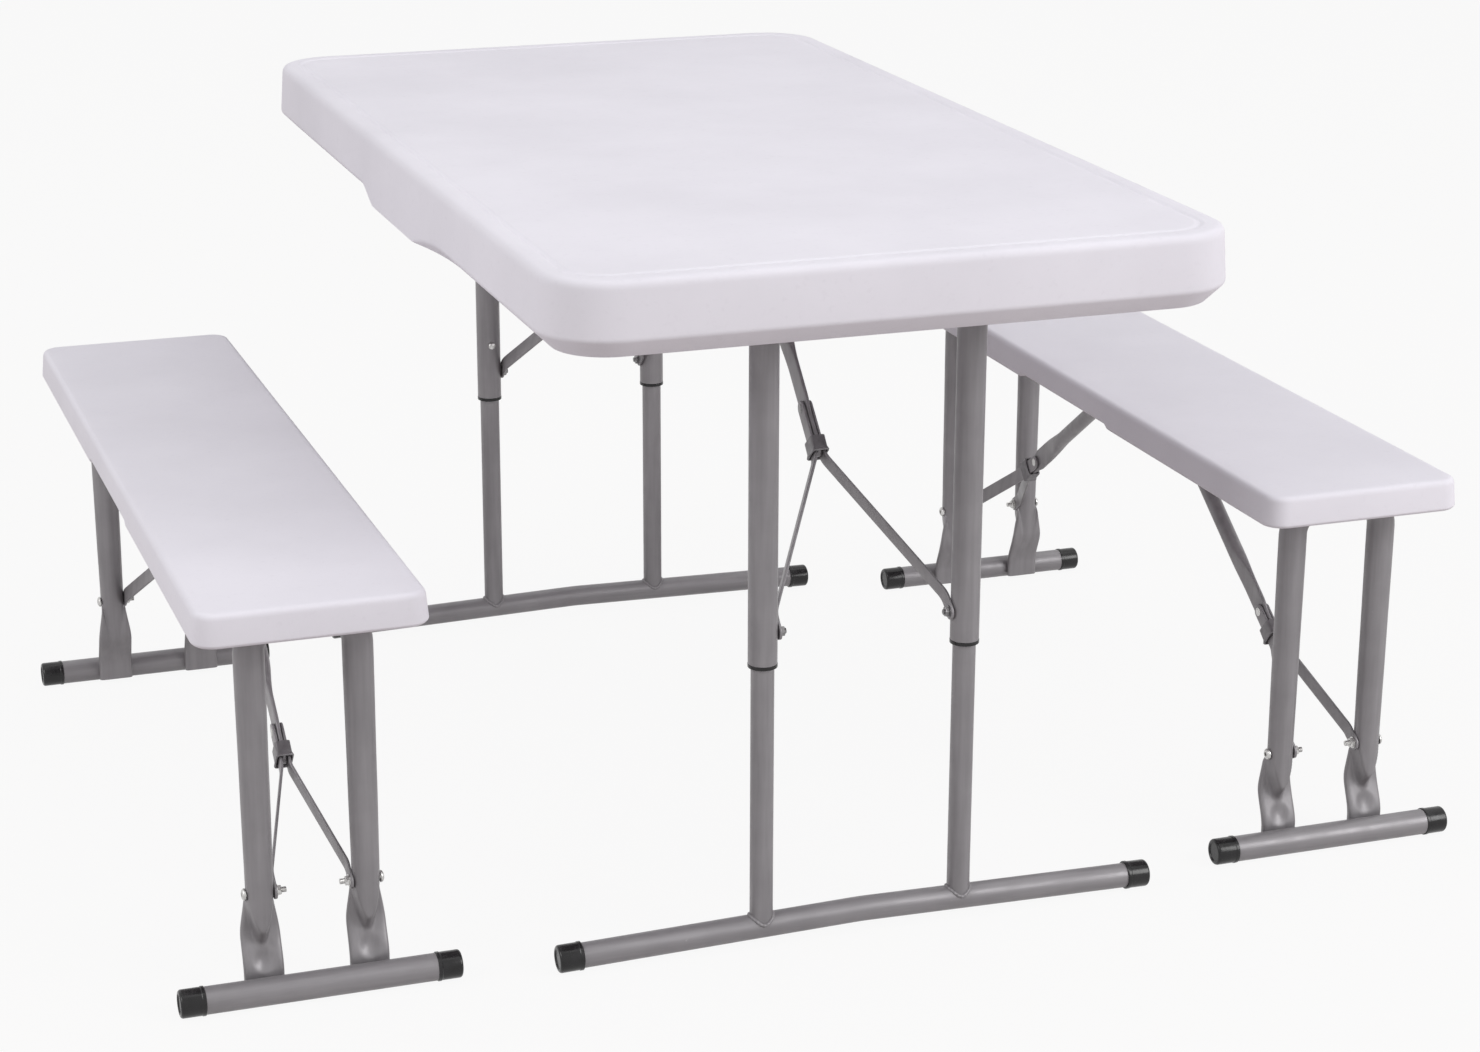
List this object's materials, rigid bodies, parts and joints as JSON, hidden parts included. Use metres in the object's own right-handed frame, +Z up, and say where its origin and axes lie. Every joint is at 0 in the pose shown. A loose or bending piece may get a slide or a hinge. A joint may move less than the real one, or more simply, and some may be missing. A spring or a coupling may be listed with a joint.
{
  "type": "beer table set",
  "caption": "Folding table with a white moulded top and matching folding benches on grey tubular steel legs, with telescoping table legs and folding lock braces.",
  "frame": {"origin": "on the floor at the centre of the set's bounding box", "axes": "+X across the set towards the right bench, +Y along the table towards its far end, +Z up"},
  "size_m": [1.412, 1.272, 0.74],
  "materials": {
    "white_plastic": "fine-grained white polyethylene",
    "grey_paint": "satin grey powder coat",
    "dark_steel": "satin dark grey coat",
    "dark_plastic": "matt dark grey plastic",
    "zinc_steel": "zinc-plated steel"
  },
  "bodies": {
    "table": {"table_top": "white_plastic", "table_brackets": "grey_paint", "table_bracket_fasteners": "zinc_steel"},
    "front_legs": {"front_upper_frame": "grey_paint", "front_leg_collars": "dark_plastic"},
    "front_rods": {"front_brace_rods": "grey_paint", "front_brace_fasteners": "zinc_steel"},
    "front_strut": {"front_brace_strut": "grey_paint"},
    "front_clip": {"front_lock_clip": "dark_steel"},
    "front_lower": {"front_lower_legs": "grey_paint", "front_foot_bar": "grey_paint", "front_foot_caps": "dark_plastic"},
    "front_button_left": {"front_button_left": "zinc_steel"},
    "front_button_right": {"front_button_right": "zinc_steel"},
    "rear_legs": {"rear_upper_frame": "grey_paint", "rear_leg_collars": "dark_plastic"},
    "rear_rods": {"rear_brace_rods": "grey_paint", "rear_brace_fasteners": "zinc_steel"},
    "rear_strut": {"rear_brace_strut": "grey_paint"},
    "rear_clip": {"rear_lock_clip": "dark_steel"},
    "rear_lower": {"rear_lower_legs": "grey_paint", "rear_foot_bar": "grey_paint", "rear_foot_caps": "dark_plastic"},
    "rear_button_left": {"rear_button_left": "zinc_steel"},
    "rear_button_right": {"rear_button_right": "zinc_steel"},
    "left_bench": {"left_bench_seat": "white_plastic", "left_bench_brackets": "grey_paint", "left_bench_bracket_fasteners": "zinc_steel"},
    "left_bench_front_legs": {"left_bench_front_legs": "grey_paint", "left_bench_front_foot_tube": "grey_paint", "left_bench_front_foot_caps": "dark_plastic"},
    "left_bench_front_rods": {"left_bench_front_brace_rods": "grey_paint", "left_bench_front_brace_fasteners": "zinc_steel"},
    "left_bench_front_strut": {"left_bench_front_brace_strut": "grey_paint"},
    "left_bench_front_clip": {"left_bench_front_lock_clip": "dark_steel"},
    "left_bench_rear_legs": {"left_bench_rear_legs": "grey_paint", "left_bench_rear_foot_tube": "grey_paint", "left_bench_rear_foot_caps": "dark_plastic"},
    "left_bench_rear_rods": {"left_bench_rear_brace_rods": "grey_paint", "left_bench_rear_brace_fasteners": "zinc_steel"},
    "left_bench_rear_strut": {"left_bench_rear_brace_strut": "grey_paint"},
    "left_bench_rear_clip": {"left_bench_rear_lock_clip": "dark_steel"},
    "right_bench": {"right_bench_seat": "white_plastic", "right_bench_brackets": "grey_paint", "right_bench_bracket_fasteners": "zinc_steel"},
    "right_bench_front_legs": {"right_bench_front_legs": "grey_paint", "right_bench_front_foot_tube": "grey_paint", "right_bench_front_foot_caps": "dark_plastic"},
    "right_bench_front_rods": {"right_bench_front_brace_rods": "grey_paint", "right_bench_front_brace_fasteners": "zinc_steel"},
    "right_bench_front_strut": {"right_bench_front_brace_strut": "grey_paint"},
    "right_bench_front_clip": {"right_bench_front_lock_clip": "dark_steel"},
    "right_bench_rear_legs": {"right_bench_rear_legs": "grey_paint", "right_bench_rear_foot_tube": "grey_paint", "right_bench_rear_foot_caps": "dark_plastic"},
    "right_bench_rear_rods": {"right_bench_rear_brace_rods": "grey_paint", "right_bench_rear_brace_fasteners": "zinc_steel"},
    "right_bench_rear_strut": {"right_bench_rear_brace_strut": "grey_paint"},
    "right_bench_rear_clip": {"right_bench_rear_lock_clip": "dark_steel"}
  },
  "joints": [
    {"name": "front_fold", "type": "hinge", "parent": "table", "child": "front_legs", "pos_m": [0, -0.52, 0.69], "axis": [1, 0, 0], "range_deg": [0, 90]},
    {"name": "front_rods_pivot", "type": "hinge", "parent": "front_legs", "child": "front_rods", "pos_m": [0, -0.52, 0.339], "axis": [1, 0, 0], "range_deg": [0, 45.5]},
    {"name": "front_strut_pivot", "type": "hinge", "parent": "table", "child": "front_strut", "pos_m": [0, -0.169, 0.69], "axis": [1, 0, 0], "range_deg": [-45.5, 0]},
    {"name": "front_clip_slide", "type": "slide", "parent": "front_strut", "child": "front_clip", "axis": [0, 0.7071, 0.7071], "range_m": [0, 0.0255]},
    {"name": "front_telescope", "type": "slide", "parent": "front_legs", "child": "front_lower", "axis": [0, 0, 1], "range_m": [0, 0.2535]},
    {"name": "front_button_left_press", "type": "slide", "parent": "front_legs", "child": "front_button_left", "axis": [0, -1, 0], "range_m": [0, 0.0015], "stiffness_N_per_m": 400, "springref_m": -0.002},
    {"name": "front_button_right_press", "type": "slide", "parent": "front_legs", "child": "front_button_right", "axis": [0, -1, 0], "range_m": [0, 0.0015], "stiffness_N_per_m": 400, "springref_m": -0.002},
    {"name": "rear_fold", "type": "hinge", "parent": "table", "child": "rear_legs", "pos_m": [0, 0.52, 0.69], "axis": [-1, 0, 0], "range_deg": [0, 90]},
    {"name": "rear_rods_pivot", "type": "hinge", "parent": "rear_legs", "child": "rear_rods", "pos_m": [0, 0.52, 0.339], "axis": [-1, 0, 0], "range_deg": [0, 45.5]},
    {"name": "rear_strut_pivot", "type": "hinge", "parent": "table", "child": "rear_strut", "pos_m": [0, 0.169, 0.69], "axis": [-1, 0, 0], "range_deg": [-45.5, 0]},
    {"name": "rear_clip_slide", "type": "slide", "parent": "rear_strut", "child": "rear_clip", "axis": [0, -0.7071, 0.7071], "range_m": [0, 0.0255]},
    {"name": "rear_telescope", "type": "slide", "parent": "rear_legs", "child": "rear_lower", "axis": [0, 0, 1], "range_m": [0, 0.2535]},
    {"name": "rear_button_left_press", "type": "slide", "parent": "rear_legs", "child": "rear_button_left", "axis": [0, 1, 0], "range_m": [0, 0.0015], "stiffness_N_per_m": 400, "springref_m": -0.002},
    {"name": "rear_button_right_press", "type": "slide", "parent": "rear_legs", "child": "rear_button_right", "axis": [0, 1, 0], "range_m": [0, 0.0015], "stiffness_N_per_m": 400, "springref_m": -0.002},
    {"name": "left_bench_slide", "type": "slide", "parent": "table", "child": "left_bench", "axis": [-1, 0, 0], "range_m": [-0.08, 0.25]},
    {"name": "left_bench_front_fold", "type": "hinge", "parent": "left_bench", "child": "left_bench_front_legs", "pos_m": [-0.564, -0.472, 0.392], "axis": [1, 0, 0], "range_deg": [0, 90]},
    {"name": "left_bench_front_rods_pivot", "type": "hinge", "parent": "left_bench_front_legs", "child": "left_bench_front_rods", "pos_m": [-0.564, -0.472, 0.111], "axis": [1, 0, 0], "range_deg": [0, 55.28]},
    {"name": "left_bench_front_strut_pivot", "type": "hinge", "parent": "left_bench", "child": "left_bench_front_strut", "pos_m": [-0.564, -0.074, 0.392], "axis": [1, 0, 0], "range_deg": [-35.72, 0]},
    {"name": "left_bench_front_clip_slide", "type": "slide", "parent": "left_bench_front_strut", "child": "left_bench_front_clip", "axis": [0, 0.8169, 0.5768], "range_m": [0, 0.0105]},
    {"name": "left_bench_rear_fold", "type": "hinge", "parent": "left_bench", "child": "left_bench_rear_legs", "pos_m": [-0.564, 0.444, 0.392], "axis": [-1, 0, 0], "range_deg": [0, 90]},
    {"name": "left_bench_rear_rods_pivot", "type": "hinge", "parent": "left_bench_rear_legs", "child": "left_bench_rear_rods", "pos_m": [-0.564, 0.444, 0.111], "axis": [-1, 0, 0], "range_deg": [0, 55.28]},
    {"name": "left_bench_rear_strut_pivot", "type": "hinge", "parent": "left_bench", "child": "left_bench_rear_strut", "pos_m": [-0.564, 0.046, 0.392], "axis": [-1, 0, 0], "range_deg": [-35.72, 0]},
    {"name": "left_bench_rear_clip_slide", "type": "slide", "parent": "left_bench_rear_strut", "child": "left_bench_rear_clip", "axis": [0, -0.8169, 0.5768], "range_m": [0, 0.0105]},
    {"name": "right_bench_slide", "type": "slide", "parent": "table", "child": "right_bench", "axis": [1, 0, 0], "range_m": [-0.08, 0.25]},
    {"name": "right_bench_front_fold", "type": "hinge", "parent": "right_bench", "child": "right_bench_front_legs", "pos_m": [0.564, -0.472, 0.392], "axis": [1, 0, 0], "range_deg": [0, 90]},
    {"name": "right_bench_front_rods_pivot", "type": "hinge", "parent": "right_bench_front_legs", "child": "right_bench_front_rods", "pos_m": [0.564, -0.472, 0.111], "axis": [1, 0, 0], "range_deg": [0, 55.28]},
    {"name": "right_bench_front_strut_pivot", "type": "hinge", "parent": "right_bench", "child": "right_bench_front_strut", "pos_m": [0.564, -0.074, 0.392], "axis": [1, 0, 0], "range_deg": [-35.72, 0]},
    {"name": "right_bench_front_clip_slide", "type": "slide", "parent": "right_bench_front_strut", "child": "right_bench_front_clip", "axis": [0, 0.8169, 0.5768], "range_m": [0, 0.0105]},
    {"name": "right_bench_rear_fold", "type": "hinge", "parent": "right_bench", "child": "right_bench_rear_legs", "pos_m": [0.564, 0.444, 0.392], "axis": [-1, 0, 0], "range_deg": [0, 90]},
    {"name": "right_bench_rear_rods_pivot", "type": "hinge", "parent": "right_bench_rear_legs", "child": "right_bench_rear_rods", "pos_m": [0.564, 0.444, 0.111], "axis": [-1, 0, 0], "range_deg": [0, 55.28]},
    {"name": "right_bench_rear_strut_pivot", "type": "hinge", "parent": "right_bench", "child": "right_bench_rear_strut", "pos_m": [0.564, 0.046, 0.392], "axis": [-1, 0, 0], "range_deg": [-35.72, 0]},
    {"name": "right_bench_rear_clip_slide", "type": "slide", "parent": "right_bench_rear_strut", "child": "right_bench_rear_clip", "axis": [0, -0.8169, 0.5768], "range_m": [0, 0.0105]}
  ],
  "couplings": [
    {"joint": "front_rods_pivot", "follows": "front_fold", "ratio": 0.5},
    {"joint": "front_strut_pivot", "follows": "front_fold", "ratio": -0.5},
    {"joint": "front_clip_slide", "follows": "front_fold", "m_per_rad": 0.015915},
    {"joint": "front_telescope", "follows": "front_fold", "m_per_rad": 0.16107},
    {"joint": "rear_rods_pivot", "follows": "rear_fold", "ratio": 0.5},
    {"joint": "rear_strut_pivot", "follows": "rear_fold", "ratio": -0.5},
    {"joint": "rear_clip_slide", "follows": "rear_fold", "m_per_rad": 0.015915},
    {"joint": "rear_telescope", "follows": "rear_fold", "m_per_rad": 0.16107},
    {"joint": "left_bench_front_rods_pivot", "follows": "left_bench_front_fold", "ratio": 0.60863},
    {"joint": "left_bench_front_strut_pivot", "follows": "left_bench_front_fold", "ratio": -0.39137},
    {"joint": "left_bench_front_clip_slide", "follows": "left_bench_front_fold", "m_per_rad": 0.006366},
    {"joint": "left_bench_rear_rods_pivot", "follows": "left_bench_rear_fold", "ratio": 0.60863},
    {"joint": "left_bench_rear_strut_pivot", "follows": "left_bench_rear_fold", "ratio": -0.39137},
    {"joint": "left_bench_rear_clip_slide", "follows": "left_bench_rear_fold", "m_per_rad": 0.006366},
    {"joint": "right_bench_front_rods_pivot", "follows": "right_bench_front_fold", "ratio": 0.60863},
    {"joint": "right_bench_front_strut_pivot", "follows": "right_bench_front_fold", "ratio": -0.39137},
    {"joint": "right_bench_front_clip_slide", "follows": "right_bench_front_fold", "m_per_rad": 0.006366},
    {"joint": "right_bench_rear_rods_pivot", "follows": "right_bench_rear_fold", "ratio": 0.60863},
    {"joint": "right_bench_rear_strut_pivot", "follows": "right_bench_rear_fold", "ratio": -0.39137},
    {"joint": "right_bench_rear_clip_slide", "follows": "right_bench_rear_fold", "m_per_rad": 0.006366}
  ]
}
